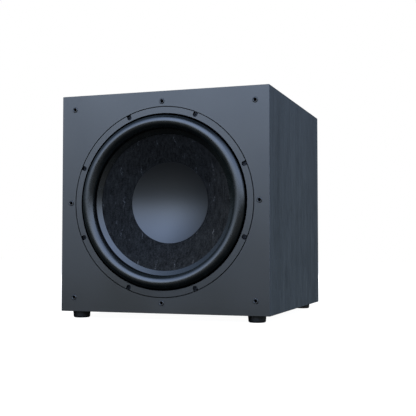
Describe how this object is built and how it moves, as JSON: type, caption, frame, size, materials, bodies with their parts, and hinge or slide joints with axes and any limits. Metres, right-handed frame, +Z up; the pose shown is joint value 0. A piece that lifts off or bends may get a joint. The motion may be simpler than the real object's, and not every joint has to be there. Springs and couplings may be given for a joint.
{
  "type": "powered subwoofer",
  "caption": "Closed-box powered subwoofer: veneered cube with one large front driver, a rear plate amplifier and rubber feet.",
  "frame": {"origin": "on the floor, under the middle of the overall box", "axes": "+Z up; the driver faces -Y; +X is to the right of someone who faces the driver"},
  "size_m": [0.45, 0.486, 0.464],
  "materials": {
    "baffle_paint": "satin",
    "trim_paint": "satin",
    "ash_veneer": "satin",
    "black_board": "matte",
    "raw_board": "matte",
    "roll_rubber": "satin",
    "foot_rubber": "matte",
    "cone_fibre": "matte",
    "cap_fibre": "matte",
    "socket_plastic": "matte",
    "black_plastic": "satin",
    "line_socket_cores": "satin",
    "black_steel": "satin",
    "plated_steel": "satin",
    "sheet_steel": "satin",
    "cast_frame": "satin",
    "amp_face": "satin",
    "bare_aluminium": "satin",
    "ferrite": "matte",
    "copper": "satin",
    "gilt": "polished",
    "cloth": "matte",
    "gasket_foam": "matte",
    "wadding_fibre": "matte",
    "circuit_board": "satin",
    "transformer_core": "matte",
    "can_sleeve": "satin",
    "clear_glass": "polished",
    "lamp_lens": "polished",
    "red_insulation": "satin",
    "black_insulation": "satin"
  },
  "bodies": {
    "cabinet": {"amp_enclosure": "sheet_steel", "amp_gasket": "gasket_foam", "amp_plate": "amp_face", "amp_screws": "black_steel", "back_panel": "black_board", "board_standoffs": "plated_steel", "bottom_panel": "ash_veneer", "driver_basket": "cast_frame", "driver_gasket": "gasket_foam", "driver_lead_black": "black_insulation", "driver_lead_red": "red_insulation", "driver_screws": "black_steel", "ferrite_magnet": "ferrite", "foot_screws": "black_steel", "front_baffle": "baffle_paint", "grille_sockets": "socket_plastic", "inlet_pins": "plated_steel", "inner_baffle": "raw_board", "input_board": "circuit_board", "left_side_panel": "ash_veneer", "magnet_boot": "foot_rubber", "main_board": "circuit_board", "mains_inlet": "black_plastic", "mains_transformer": "transformer_core", "pole_and_back_plate": "plated_steel", "potentiometers": "black_plastic", "rca_barrels": "gilt", "rca_housing": "black_plastic", "rca_insulators": "line_socket_cores", "reservoir_capacitors": "can_sleeve", "right_side_panel": "ash_veneer", "rocker_frame": "black_plastic", "rubber_feet": "foot_rubber", "slide_switch_bodies": "black_plastic", "spider": "cloth", "status_lamp": "lamp_lens", "surround": "roll_rubber", "tee_nuts": "plated_steel", "terminal_board": "black_plastic", "terminal_posts": "gilt", "tinsel_leads": "copper", "top_panel": "ash_veneer", "top_plate": "plated_steel", "trim_ring": "trim_paint", "wadding": "wadding_fibre", "window_brace": "raw_board"},
    "cone_assembly": {"cone": "cone_fibre", "dust_cap": "cap_fibre", "coil_former": "bare_aluminium", "coil_winding": "copper"},
    "volume_control": {"volume_knob": "black_plastic", "volume_shaft": "plated_steel"},
    "crossover_control": {"crossover_knob": "black_plastic", "crossover_shaft": "plated_steel"},
    "phase_switch": {"phase_slider": "black_plastic"},
    "auto_switch": {"auto_slider": "black_plastic"},
    "power_switch": {"power_rocker": "black_plastic"},
    "fuse_holder": {"fuse_drawer": "black_plastic", "fuse": "clear_glass"}
  },
  "joints": [
    {"name": "cone_travel", "type": "slide", "parent": "cabinet", "child": "cone_assembly", "axis": [0, -1, 0], "range_m": [-0.012, 0.012], "stiffness_N_per_m": 8000, "deforming": ["surround", "spider", "tinsel_leads"]},
    {"name": "volume_turn", "type": "hinge", "parent": "cabinet", "child": "volume_control", "pos_m": [0.055, 0.233, 0.334], "axis": [0, 1, 0], "range_deg": [-150, 150]},
    {"name": "crossover_turn", "type": "hinge", "parent": "cabinet", "child": "crossover_control", "pos_m": [-0.005, 0.233, 0.334], "axis": [0, 1, 0], "range_deg": [-150, 150]},
    {"name": "phase_slide", "type": "slide", "parent": "cabinet", "child": "phase_switch", "axis": [1, 0, 0], "range_m": [0, 0.004]},
    {"name": "auto_slide", "type": "slide", "parent": "cabinet", "child": "auto_switch", "axis": [1, 0, 0], "range_m": [-0.004, 0.004]},
    {"name": "power_rock", "type": "hinge", "parent": "cabinet", "child": "power_switch", "pos_m": [0.02, 0.23, 0.144], "axis": [1, 0, 0], "range_deg": [-14, 0]},
    {"name": "fuse_drawer_slide", "type": "slide", "parent": "cabinet", "child": "fuse_holder", "axis": [0, 1, 0], "range_m": [0, 0.016]}
  ]
}
